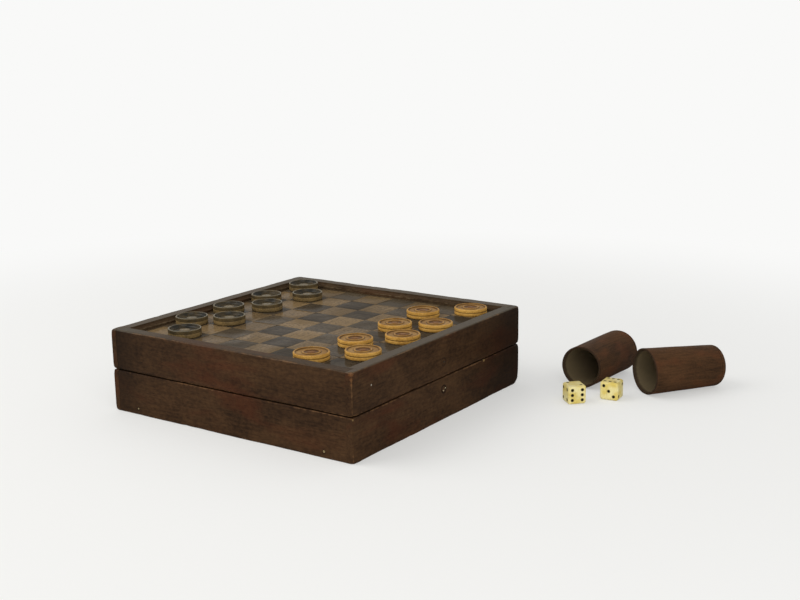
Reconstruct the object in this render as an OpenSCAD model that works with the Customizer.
// A folding games box in two hinged halves: a draughts board on the lid, backgammon points inside,
// sixteen turned men on the board, and two dice cups and two dice on the table beside it.
// The origin is the middle of the box's underside. The front is -Y, the hinges are on the back, +Y.

/* [Board] */
// Side of one square of the board
square = 28.6; // [27:0.1:30]
// Thickness of the inlaid squares and of the border round them
veneer_t = 1.2; // [0.8:0.1:2]
// Hairline of glue left between two inlaid pieces
glue_line = 0.1; // [0.05:0.05:0.3]
// Plain border between the squares and the moulding
border_w = 3.6; // [2:0.1:8]
// Thickness of the panel that carries the squares
panel_t = 8; // [6:0.5:10]
// Depth of the playing surface below the rim
board_drop = 5.5; // [5:0.1:8]
// How far the panel runs into its groove in the sides
groove_depth = 4; // [2:0.5:6]

/* [Moulding] */
// Width of the moulding that covers the joint of board and sides
moulding_w = 3.7; // [3:0.1:6]
// Flat fillet along the moulding's inner edge
fillet_w = 0.9; // [0.5:0.1:1.5]
// Height of that fillet above the board
fillet_h = 2.2; // [1.5:0.1:3]
// Height of the moulding where it meets the side
moulding_h = 5; // [4:0.1:5]

/* [Sides] */
// Thickness of the side boards
side_t = 11.3; // [9:0.1:14]
// Thickness of the lip by which the front and back boards lap the ends of the others
lap_t = 6; // [4:0.5:8]
// Height of the lower half
lower_h = 38; // [34:0.5:45]
// Height of the upper half
upper_h = 36.3; // [32:0.1:38]
// Gap between the two closed halves
seam_gap = 0.9; // [0.3:0.1:1.2]
// Thickness of the bottom board
bottom_t = 8; // [6:0.5:10]
// Radius of the four upright corners
corner_r = 1.5; // [0.5:0.5:5]
// Radius of the outer edges that run along the top and the bottom
arris_r = 1.2; // [0.5:0.1:2]
// Radius of the lower half's outer edge at the seam
seam_low_r = 0.6; // [0.4:0.1:2]
// Radius of the upper half's outer edge at the seam
seam_high_r = 1.3; // [0.4:0.1:2]

/* [Bottom nails] */
// Radius of the nails through the left and right sides into the bottom board
nail_r = 0.8; // [0.5:0.1:1.2]
// Length of a nail
nail_len = 24; // [18:1:30]
// Distance of a nail from the case's middle
nail_out = 104; // [60:1:110]
// How far a nail's head lies below the side's face
nail_sunk = 0.2; // [0.1:0.1:0.5]

/* [Backgammon points] */
// Length of a point
point_len = 95; // [70:1:110]
// Thickness of the inlaid points
point_t = 0.8; // [0.5:0.1:1.5]
// Space between the feet of two points
point_gap = 1.2; // [0.5:0.1:3]

/* [Hinges] */
// Length of a hinge
hinge_len = 38; // [30:1:50]
// Distance from the middle of the back to the middle of a hinge
hinge_out = 78; // [50:1:95]
// Radius of the knuckles
knuckle_r = 2.2; // [1.8:0.1:3]
// How far the pin's axis stands behind the back
knuckle_out = 1.2; // [1:0.1:2]
// Room round a knuckle for the half that turns
knuckle_room = 0.35; // [0.3:0.05:0.6]
// Gap between two knuckles along the pin
knuckle_gap = 0.3; // [0.2:0.1:0.6]
// Radius of the hinge pin
hinge_pin_r = 0.9; // [0.6:0.1:1.1]
// Radial clearance between the pin and the knuckles
pin_clearance = 0.05; // [0.02:0.01:0.08]
// Thickness of a hinge leaf
leaf_t = 1.2; // [0.8:0.1:1.4]
// Width of a leaf on the edge of the side board
leaf_w = 8; // [7:0.5:9]
// Head radius of the leaf screws
screw_head_r = 2; // [1.6:0.1:2.4]
// Shank radius of the leaf screws
screw_r = 1; // [0.8:0.1:1.2]
// Length of the leaf screws
screw_len = 10; // [8:1:14]
// Distance between the leaf screws
screw_pitch = 13; // [10:1:14]
// Place of the screws across a leaf, as a share of its width
screw_share = 0.6; // [0.5:0.05:0.7]

/* [Catch remains] */
// Radius of the worn ring that the catch left on the front
catch_ring_r = 3.4; // [2.5:0.1:4.5]
// Width and depth of that ring
catch_ring_w = 0.4; // [0.2:0.1:0.6]
// Height of the upper mark above the seam
catch_up = 13.6; // [8:0.1:18]
// Distance of the lower mark below the seam
catch_down = 10.9; // [8:0.1:18]
// Radius of the broken pin in the upper half
catch_pin_r = 0.8; // [0.5:0.1:1.2]
// Radius of the wire of the cut staple in the lower half
staple_r = 0.6; // [0.4:0.1:0.8]
// Distance between the two legs of the staple
staple_span = 3.4; // [2.5:0.1:4.5]
// How far the staple leans from level, in degrees
staple_lean = 33; // [0:1:60]
// How far the cut ends stand out
stub_out = 0.5; // [0.2:0.1:1]
// How deep the pin and the staple go into the board
stub_in = 7; // [4:0.5:9]

/* [Men] */
// Diameter of a light man
light_d = 30.7; // [28:0.1:32]
// Thickness of a light man
light_t = 6.7; // [5:0.1:8]
// Diameter of a dark man
dark_d = 29.7; // [28:0.1:32]
// Thickness of a dark man
dark_t = 7.6; // [6:0.1:9]
// Width of the raised rim of a man
rim_w = 1.5; // [1:0.1:2.5]
// Depth of the turned ground inside a light man's rim
light_dish = 0.9; // [0.5:0.1:1.5]
// Depth of the dish inside a dark man's rim
dark_dish = 3; // [2:0.1:3.6]
// Depth of the groove round the edge of a light man
edge_groove = 0.5; // [0.2:0.1:0.8]
// Half the width of that groove
groove_half_w = 0.7; // [0.4:0.1:1.2]
// Width of the bevel along the outer edges of a light man
light_bevel = 0.6; // [0.3:0.1:1]
// Width of the bevel along the foot of a dark man
dark_bevel = 0.8; // [0.3:0.1:1.2]
// Width of the bevel along both edges of a dark man's rim
rim_bevel = 0.4; // [0.2:0.1:0.6]
// Width of the slope from a man's rim down to its sunk ground
rim_slope = 0.6; // [0.3:0.1:1]
// Inner radius of the ring that is turned round a light man's middle
light_ring_r = 6.4; // [5:0.1:8]
// Width of that ring
light_ring_w = 1.2; // [0.6:0.1:2]
// How far that ring lies below the rim
light_ring_drop = 0.2; // [0.1:0.1:0.4]
// Radius of the small disc in a light man's middle
light_disc_r = 3.2; // [2:0.1:4]
// How far that disc lies below the rim
light_disc_drop = 0.5; // [0.2:0.1:0.8]
// Width of the slopes of the ring and the disc
light_slope = 0.5; // [0.2:0.1:0.8]
// Radius of the low boss in a dark man's dish
dark_boss_r = 5.3; // [3:0.1:7]
// Height of that boss
dark_boss_h = 1.2; // [0.5:0.1:2]
// Width and height of the bevels in the dish and on the boss
dish_bevel = 1; // [0.4:0.1:1.4]

/* [Dice cups] */
// Length of a cup along its axis
cup_len = 79; // [65:0.5:85]
// Outer radius of the first cup at its mouth
cup_1_mouth_r = 20.2; // [19:0.1:23]
// Outer radius of the first cup at its closed end
cup_1_base_r = 20.2; // [18:0.1:22]
// Outer radius of the second cup at its mouth
cup_2_mouth_r = 21.9; // [19:0.1:23]
// Outer radius of the second cup at its closed end
cup_2_base_r = 19.1; // [18:0.1:22]
// Thickness of the leather wall
cup_wall = 2.4; // [1.8:0.1:3]
// Thickness of the end cap
cup_cap_t = 6.8; // [6.6:0.1:9]
// How far the cap's plug runs up inside the wall
cup_plug_t = 2; // [1:0.5:4]
// Radius of the rounded edge of the cap
cup_edge_r = 5; // [2:0.1:5]
// How far the cap's end bulges
cup_dome = 1.2; // [0.5:0.1:1.5]
// Slack round the cap's plug
cup_plug_slack = 0.05; // [0.02:0.01:0.1]

/* [Dice] */
// Side of a die
die_side = 17.1; // [15:0.1:19]
// Radius of the edges of a die
die_edge_r = 1.9; // [1:0.1:2.4]
// How round a die's corners are: the reach of a corner as a multiple of half the side
die_round = 1.56; // [1.5:0.01:1.7]
// Distance of the outer pips from the middle of a face
pip_out = 4.7; // [4:0.1:5]
// Radius of a pip
pip_r = 1.3; // [0.8:0.1:1.4]
// Depth of a drilled pip
pip_depth = 0.7; // [0.4:0.1:1]
// How far the black filling lies below the face
pip_sunk = 0.1; // [0:0.05:0.2]
// Slack round a pip's filling
pip_slack = 0.02; // [0.01:0.01:0.05]

/* [Hidden] */
ROWS = 8;
ARC_STEPS = 6;
POINTS_A_SIDE = 6;
KNUCKLES = 5;
FINE = 64;
EPS = 0.01;
CLEAR = 1;
DRILL_SLACK = 0.02;
LIP_R = 0.7;
NAIL_SHARE = 0.7;
HEAD_SHARE = 0.9;
BOSS_SHARE = 0.75;

// Half the width of the board field, of the room inside the sides, and of the whole case
field = square * ROWS / 2;
inside = field + border_w + moulding_w;
half = inside + side_t;
// Heights of the seam, the upper half's foot, the rim, the playing surface and the panel
seam_z = lower_h + seam_gap / 2;
upper_z = lower_h + seam_gap;
rim_z = upper_z + upper_h;
board_z = rim_z - board_drop;
panel_top = board_z - veneer_t;
panel_z = panel_top - panel_t;
point_w = 2 * inside / POINTS_A_SIDE;
hinge_y = half + knuckle_out;
knuckle_len = hinge_len / KNUCKLES;

// Each man: column from the left, row from the back, and how far it stands off the square's middle
LIGHT_MEN = [
    [0, 6, -1.8, 2.1], [2, 6, -4, -2], [1, 7, -2.7, -1.5], [4, 6, 1.3, 0],
    [3, 7, -0.5, -0.5], [6, 6, -2, 5.3], [5, 7, -8, -2.3], [7, 7, 1.5, 1.5]
];
DARK_MEN = [
    [0, 1, -0.5, 2.5], [1, 0, 7.8, 0.6], [3, 0, 2.5, 2], [2, 1, -1, 1],
    [5, 0, 0.5, 2], [4, 1, 0.6, 5.6], [7, 0, 2.6, 2.6], [6, 1, -1.1, 0.4]
];
// Each cup: where the lip touches the table, and the way from the mouth to the closed end, in degrees
CUPS = [[147.1, -191.3, -3.8], [158.9, -249, -35]];
MOUTH_R = [cup_1_mouth_r, cup_2_mouth_r];
BASE_R = [cup_1_base_r, cup_2_base_r];
// Each die: the middle of its foot, and how far it is turned
DICE = [[105.4, -205.5, 46.5], [133.2, -229.4, 6]];
// The pips of each value on a face, as steps of pip_out
PIPS = [
    [], [[0, 0]], [[-1, -1], [1, 1]], [[-1, 1], [0, 0], [1, -1]],
    [[-1, -1], [-1, 1], [1, -1], [1, 1]], [[-1, -1], [-1, 1], [1, -1], [1, 1], [0, 0]],
    [[-1, -1], [-1, 0], [-1, 1], [1, -1], [1, 0], [1, 1]]
];
// Values on the faces +X, -X, +Y, -Y, +Z, -Z of each die
DIE_FACES = [[1, 6, 4, 3, 2, 5], [4, 3, 5, 2, 6, 1]];
FACE_TURNS = [[90, 0, 90], [90, 0, -90], [90, 0, 180], [90, 0, 0], [0, 0, 0], [180, 0, 0]];

// Points of an arc from angle a to angle b
function arc(x, y, r, a, b) =
    [for (i = [0:ARC_STEPS]) let (t = a + (b - a) * i / ARC_STEPS) [x + r * cos(t), y + r * sin(t)]];

// Outline of a rectangle with round corners, from its low corner to its high one; r is the radius of
// the low corners and top_r that of the high ones
function round_rect(x0, y0, x1, y1, r, top_r) = concat(
    arc(x1 - top_r, y1 - top_r, top_r, 0, 90), arc(x0 + top_r, y1 - top_r, top_r, 90, 180),
    arc(x0 + r, y0 + r, r, 180, 270), arc(x1 - r, y0 + r, r, 270, 360));

// A block with the case's outside, its upright corners and its long edges rounded
module case_block(z0, z1) {
    foot_r = z0 > 0 ? seam_high_r : arris_r;
    head_r = z0 > 0 ? arris_r : seam_low_r;
    intersection() {
        translate([0, 0, z0 - EPS])
            linear_extrude(z1 - z0 + 2 * EPS)
                polygon(round_rect(-half, -half, half, half, corner_r, corner_r));
        rotate([90, 0, 0])
            linear_extrude(4 * half, center = true)
                polygon(round_rect(-half, z0, half, z1, foot_r, head_r));
        rotate([90, 0, 90])
            linear_extrude(4 * half, center = true)
                polygon(round_rect(-half, z0, half, z1, foot_r, head_r));
    }
}

// The front board of a half: full width, with a lip at each end that laps the side board
module front_board(z0, z1) {
    intersection() {
        case_block(z0, z1);
        translate([0, 0, z0 - CLEAR])
            linear_extrude(z1 - z0 + 2 * CLEAR)
                polygon([
                    [-half - CLEAR, -half - CLEAR], [half + CLEAR, -half - CLEAR],
                    [half + CLEAR, -half + lap_t], [inside, -half + lap_t], [inside, -inside],
                    [-inside, -inside], [-inside, -half + lap_t], [-half - CLEAR, -half + lap_t]
                ]);
    }
}

// The left board of a half, which stands between the lips of the front and back boards
module left_board(z0, z1) {
    intersection() {
        case_block(z0, z1);
        translate([-half - CLEAR, -half + lap_t, z0 - CLEAR])
            cube([side_t + CLEAR, 2 * (half - lap_t), z1 - z0 + 2 * CLEAR]);
    }
}

// The groove that the board panel runs in, cut from all four sides of the upper half
module panel_groove() {
    translate([-inside - groove_depth, -inside - groove_depth, panel_z])
        cube([2 * (inside + groove_depth), 2 * (inside + groove_depth), panel_t]);
}

// Cylinder along X whose middle is at the given place
module rod_x(r, len) {
    rotate([0, 90, 0]) cylinder(r = r, h = len, center = true, $fn = FINE);
}

// Cylinder along Y that starts at the given place
module rod_y(r, len) {
    rotate([-90, 0, 0]) cylinder(r = r, h = len, $fn = FINE);
}

// Nails through a side and into the bottom board; grow widens them to cut their holes
module nails(grow) {
    for (side = [-1, 1], y = [-nail_out, nail_out])
        translate([side * (half - nail_len / 2 - nail_sunk), y, bottom_t * NAIL_SHARE])
            rod_x(nail_r + grow, nail_len);
}

// Both hinges' own places, along the back
module at_hinges() {
    for (side = [-1, 1]) translate([side * hinge_out, hinge_y, seam_z]) children();
}

// The recess for a leaf and the room for the knuckles, as cut from the lower back board
module hinge_recess() {
    at_hinges() {
        translate([-hinge_len / 2, -knuckle_out - leaf_w, -seam_gap / 2 - leaf_t])
            cube([hinge_len, leaf_w + knuckle_out, leaf_t + seam_gap]);
        rod_x(knuckle_r + knuckle_room, hinge_len);
    }
}

// The screws of the lower leaves; grow widens them to cut their holes
module lower_screws(grow) {
    at_hinges()
        for (x = [-screw_pitch, 0, screw_pitch])
            translate([x, -knuckle_out - leaf_w * screw_share, -seam_gap / 2])
                rotate([180, 0, 0]) {
                    cylinder(r = screw_r + grow, h = screw_len, $fn = FINE);
                    cylinder(r1 = screw_head_r + grow, r2 = screw_r + grow,
                             h = leaf_t * HEAD_SHARE, $fn = FINE);
                }
}

// The slots across the heads of the lower screws
module lower_screw_slots() {
    at_hinges()
        for (x = [-screw_pitch, 0, screw_pitch])
            translate([x, -knuckle_out - leaf_w * screw_share, -seam_gap / 2])
                rotate([0, 0, 25 + 40 * x / screw_pitch])
                    cube([3 * screw_head_r, screw_head_r / 4, leaf_t / 2], center = true);
}

// The parts of the upper half that mirror the lower half's at the seam
module mirrored_at_seam() {
    translate([0, 0, 2 * seam_z]) mirror([0, 0, 1]) children();
}

// One lower leaf with the knuckles numbered in mine; the others' places stay free
module leaf(side, mine) {
    color("#6f6044") translate([side * hinge_out, hinge_y, seam_z])
        difference() {
            union() {
                difference() {
                    translate([-hinge_len / 2, -knuckle_out - leaf_w, -seam_gap / 2 - leaf_t])
                        cube([hinge_len, leaf_w + knuckle_out, leaf_t]);
                    for (k = [0:KNUCKLES - 1])
                        if (!in_list(k, mine))
                            translate([knuckle_x(k), 0, 0])
                                rod_x(knuckle_r + knuckle_room, knuckle_len + knuckle_gap);
                }
                for (k = mine)
                    translate([knuckle_x(k), 0, 0]) rod_x(knuckle_r, knuckle_len - knuckle_gap);
            }
            rod_x(hinge_pin_r + pin_clearance, hinge_len + 2 * CLEAR);
        }
}

function knuckle_x(k) = (k + 0.5) * knuckle_len - hinge_len / 2;
function in_list(k, list) = len([for (v = list) if (v == k) v]) > 0;
LOWER_KNUCKLES = [0, 2, 4];
UPPER_KNUCKLES = [1, 3];

module lower_leaf(side) {
    difference() {
        leaf(side, LOWER_KNUCKLES);
        lower_screws(DRILL_SLACK);
    }
}

module upper_leaf(side) {
    mirrored_at_seam()
        difference() {
            leaf(side, UPPER_KNUCKLES);
            lower_screws(DRILL_SLACK);
        }
}

module hinge_pin(side) {
    color("#8a7a58") translate([side * hinge_out, hinge_y, seam_z]) rod_x(hinge_pin_r, hinge_len);
}

module hinge_screws() {
    color("#857552") difference() {
        lower_screws(0);
        lower_screw_slots();
    }
}

// Ring that the lost catch wore into the front, at a height
module catch_ring(z) {
    translate([0, -half, z])
        difference() {
            translate([0, -CLEAR, 0])
                rod_y(catch_ring_r + catch_ring_w / 2, CLEAR + catch_ring_w);
            translate([0, -2 * CLEAR, 0])
                rod_y(catch_ring_r - catch_ring_w / 2, 3 * CLEAR + catch_ring_w);
        }
}

// The broken pin of the catch; grow widens it to cut its hole
module catch_pin_rod(grow) {
    translate([0, -half - stub_out / 2, seam_z + catch_up])
        rod_y(catch_pin_r + grow, stub_in + stub_out / 2);
}

// The two cut legs of the staple; grow widens them to cut their holes
module staple_legs(grow) {
    for (s = [-1, 1])
        translate([
            s * staple_span / 2 * cos(staple_lean), -half - stub_out,
            seam_z - catch_down + s * staple_span / 2 * sin(staple_lean)
        ])
            rod_y(staple_r + grow, stub_in + stub_out);
}

module lower_front() {
    color("#46302a") difference() {
        front_board(0, lower_h);
        catch_ring(seam_z - catch_down);
        staple_legs(DRILL_SLACK);
    }
}

module lower_back() {
    color("#46302a") difference() {
        mirror([0, 1, 0]) front_board(0, lower_h);
        hinge_recess();
        lower_screws(DRILL_SLACK);
    }
}

module lower_left() {
    color("#4d352b") difference() {
        left_board(0, lower_h);
        nails(DRILL_SLACK);
    }
}

module lower_right() {
    color("#4d352b") difference() {
        mirror([1, 0, 0]) left_board(0, lower_h);
        nails(DRILL_SLACK);
    }
}

// A half's backgammon points, drawn at height z and thick points up from there; shade picks the colour
module points(z, shade, grow) {
    for (side = [-1, 1], i = [0:POINTS_A_SIDE - 1])
        if ((i + (side + 1) / 2) % 2 == shade)
            translate([side * inside, (i + 0.5) * point_w - inside, z])
                linear_extrude(point_t)
                    polygon([
                        [0, -(point_w - point_gap) / 2 - grow], [0, (point_w - point_gap) / 2 + grow],
                        [-side * (point_len + grow), 0]
                    ]);
}

module lower_bottom() {
    color("#5b4638") difference() {
        translate([-inside, -inside, 0]) cube([2 * inside, 2 * inside, bottom_t]);
        nails(DRILL_SLACK);
        for (shade = [0, 1]) translate([0, 0, bottom_t - point_t]) points(0, shade, DRILL_SLACK);
    }
}

module bottom_nails() {
    color("#b5a27a") nails(0);
}

module lower_points(shade) {
    color(shade == 0 ? "#b08f58" : "#2f2722") points(bottom_t - point_t, shade, 0);
}

module upper_front() {
    color("#46302a") difference() {
        front_board(upper_z, rim_z);
        panel_groove();
        catch_ring(seam_z + catch_up);
        catch_pin_rod(DRILL_SLACK);
    }
}

module upper_back() {
    color("#46302a") difference() {
        mirror([0, 1, 0]) front_board(upper_z, rim_z);
        panel_groove();
        mirrored_at_seam() hinge_recess();
        mirrored_at_seam() lower_screws(DRILL_SLACK);
    }
}

module upper_left() {
    color("#4d352b") difference() {
        left_board(upper_z, rim_z);
        panel_groove();
    }
}

module upper_right() {
    color("#4d352b") difference() {
        mirror([1, 0, 0]) left_board(upper_z, rim_z);
        panel_groove();
    }
}

module board_panel() {
    color("#5b4638") difference() {
        panel_groove();
        for (shade = [0, 1]) points(panel_z, shade, DRILL_SLACK);
    }
}

module upper_points(shade) {
    color(shade == 0 ? "#b08f58" : "#2f2722") points(panel_z, shade, 0);
}

// The inlaid squares of one shade: 0 is light, 1 is dark; the back row's left square is light
module squares(shade) {
    for (col = [0:ROWS - 1], row = [0:ROWS - 1])
        if ((row + col) % 2 == shade)
            translate([
                col * square - field + glue_line / 2, field - (row + 1) * square + glue_line / 2, panel_top
            ])
                cube([square - glue_line, square - glue_line, veneer_t]);
}

module light_squares() {
    color("#7a6c54") squares(0);
}

module dark_squares() {
    color("#5a5047") squares(1);
}

module board_border() {
    color("#6a5c4a") translate([0, 0, panel_top])
        linear_extrude(veneer_t)
            difference() {
                square([2 * inside, 2 * inside], center = true);
                square([2 * field + glue_line, 2 * field + glue_line], center = true);
            }
}

// The moulding's section, from the side board inwards: a cove that runs down to a flat fillet
module moulding_section() {
    cove_w = moulding_w - fillet_w;
    cove_h = moulding_h - fillet_h;
    polygon(concat(
        [[0, 0], [moulding_w, 0], [moulding_w, fillet_h]],
        [for (p = arc(0, 0, 1, 0, 90)) [cove_w * (1 - p[1]), moulding_h - cove_h * p[0]]]));
}

// The front length of moulding, mitred at both ends
module moulding() {
    color("#4a3328") intersection() {
        translate([0, -inside, board_z])
            rotate([90, 0, 90]) linear_extrude(2 * inside, center = true) moulding_section();
        translate([0, 0, board_z - CLEAR])
            linear_extrude(moulding_h + 2 * CLEAR)
                polygon([
                    [-inside - CLEAR, -inside - CLEAR], [inside + CLEAR, -inside - CLEAR],
                    [inside - 2 * moulding_w, -inside + 2 * moulding_w],
                    [-inside + 2 * moulding_w, -inside + 2 * moulding_w]
                ]);
    }
}

// Where a man stands on the board
module on_square(place) {
    translate([
        (place[0] + 0.5) * square - field + place[2], field - (place[1] + 0.5) * square + place[3], board_z
    ])
        children();
}

// A light man: a raised rim, a sunk ground, a ringed boss, and a groove round the edge
module light_man(n) {
    r = light_d / 2;
    t = light_t;
    ground = t - light_dish;
    ring_r = light_ring_r + light_ring_w;
    ring_z = t - light_ring_drop;
    disc_z = t - light_disc_drop;
    color("#b98d4e") on_square(LIGHT_MEN[n])
        rotate_extrude($fn = 128)
            polygon([
                [0, 0], [r - light_bevel, 0], [r, light_bevel], [r, t / 2 - groove_half_w],
                [r - edge_groove, t / 2], [r, t / 2 + groove_half_w], [r, t - light_bevel],
                [r - light_bevel, t], [r - rim_w, t], [r - rim_w - rim_slope, ground],
                [ring_r + light_slope, ground], [ring_r, ring_z], [light_ring_r, ring_z],
                [light_ring_r - light_slope, ground], [light_disc_r, ground],
                [light_disc_r - light_slope, disc_z], [0, disc_z]
            ]);
}

// A dark man: a deep dish in a thin rim, with a low boss in the middle
module dark_man(n) {
    r = dark_d / 2;
    t = dark_t;
    floor_z = t - dark_dish;
    dish_r = r - rim_w - rim_slope;
    color("#3b352c") on_square(DARK_MEN[n])
        rotate_extrude($fn = 128)
            polygon([
                [0, 0], [r - dark_bevel, 0], [r, dark_bevel], [r, t - rim_bevel], [r - rim_bevel, t],
                [r - rim_w + rim_bevel, t], [r - rim_w, t - rim_bevel], [dish_r, floor_z + dish_bevel],
                [dish_r - dish_bevel, floor_z], [dark_boss_r, floor_z],
                [dark_boss_r - dish_bevel, floor_z + dark_boss_h * BOSS_SHARE], [0, floor_z + dark_boss_h]
            ]);
}

// A lying cup's own frame: the axis along Z from the mouth, the cone's lowest line on the table
module lying_cup(n) {
    translate([CUPS[n][0], CUPS[n][1], 0])
        rotate([0, atan((MOUTH_R[n] - BASE_R[n]) / cup_len), CUPS[n][2]])
            translate([0, 0, MOUTH_R[n]])
                rotate([0, 90, 0])
                    children();
}

// Outer radius of cup n at a distance from its mouth
function cup_r(n, z) = MOUTH_R[n] + (BASE_R[n] - MOUTH_R[n]) * z / cup_len;

module cup_wall(n) {
    wall_len = cup_len - cup_cap_t;
    color("#4a3228") lying_cup(n)
        rotate_extrude($fn = 128)
            polygon([
                [cup_r(n, 0) - cup_wall + LIP_R, 0], [cup_r(n, 0) - LIP_R, 0], [cup_r(n, LIP_R), LIP_R],
                [cup_r(n, wall_len), wall_len], [cup_r(n, wall_len) - cup_wall, wall_len],
                [cup_r(n, LIP_R) - cup_wall, LIP_R]
            ]);
}

module cup_cap(n) {
    start = cup_len - cup_cap_t;
    plug = start - cup_plug_t;
    round_z = cup_len - cup_dome - cup_edge_r;
    flat_r = cup_r(n, round_z) - cup_edge_r;
    plug_r = cup_r(n, start) - cup_wall - cup_plug_slack;
    color("#4a3228") lying_cup(n)
        rotate_extrude($fn = 128)
            polygon(concat(
                [[0, plug], [plug_r, plug], [plug_r, start], [cup_r(n, start), start]],
                arc(flat_r, round_z, cup_edge_r, 0, 90),
                [for (i = [1:ARC_STEPS]) let (u = 1 - i / ARC_STEPS)
                    [flat_r * u, cup_len - cup_dome * u * u]]));
}

// A square bar along Z with round edges, as thick as a die
module die_bar() {
    s = die_side / 2;
    linear_extrude(2 * die_side, center = true) polygon(round_rect(-s, -s, s, s, die_edge_r, die_edge_r));
}

// A cube with round edges and blunt corners that stands on the table
module die_body() {
    translate([0, 0, die_side / 2])
        intersection() {
            die_bar();
            rotate([90, 0, 0]) die_bar();
            rotate([0, 90, 0]) die_bar();
            sphere(r = die_side / 2 * die_round, $fn = FINE);
        }
}

// The drilled pips of a die; sunk and grow make the holes or their fillings
module die_pips(n, sunk, grow) {
    for (face = [0:5])
        translate([0, 0, die_side / 2])
            rotate(FACE_TURNS[face])
                for (p = PIPS[DIE_FACES[n][face]])
                    translate([p[0] * pip_out, p[1] * pip_out, die_side / 2 - pip_depth])
                        cylinder(r = pip_r + grow, h = pip_depth - sunk, $fn = FINE);
}

module at_die(n) {
    translate([DICE[n][0], DICE[n][1], 0]) rotate([0, 0, DICE[n][2]]) children();
}

module die(n) {
    color("#d9c98a") at_die(n) difference() {
        die_body();
        die_pips(n, -1, pip_slack);
    }
}

module pips(n) {
    color("#1a1712") at_die(n) die_pips(n, pip_sunk, 0);
}

lower_front();
lower_back();
lower_left();
lower_right();
lower_bottom();
bottom_nails();
lower_points(0);  // lower_points_light
lower_points(1);  // lower_points_dark
upper_front();
upper_back();
upper_left();
upper_right();
board_panel();
upper_points(0);  // upper_points_light
upper_points(1);  // upper_points_dark
light_squares();
dark_squares();
board_border();
moulding();  // moulding_front
rotate([0, 0, 180]) moulding();  // moulding_back
rotate([0, 0, -90]) moulding();  // moulding_left
rotate([0, 0, 90]) moulding();  // moulding_right
lower_leaf(-1);  // hinge_left_lower_leaf
upper_leaf(-1);  // hinge_left_upper_leaf
hinge_pin(-1);  // hinge_left_pin
lower_leaf(1);  // hinge_right_lower_leaf
upper_leaf(1);  // hinge_right_upper_leaf
hinge_pin(1);  // hinge_right_pin
hinge_screws();  // hinge_screws_lower
mirrored_at_seam() hinge_screws();  // hinge_screws_upper
color("#8a7a58") catch_pin_rod(0);  // catch_pin
color("#d8d0b8") staple_legs(0);  // catch_staple
for (i = [0:len(LIGHT_MEN) - 1])
    light_man(i);
for (i = [0:len(DARK_MEN) - 1])
    dark_man(i);
for (i = [0:len(CUPS) - 1]) {
    cup_wall(i);
    cup_cap(i);
}
for (i = [0:len(DICE) - 1]) {
    die(i);
    pips(i);
}
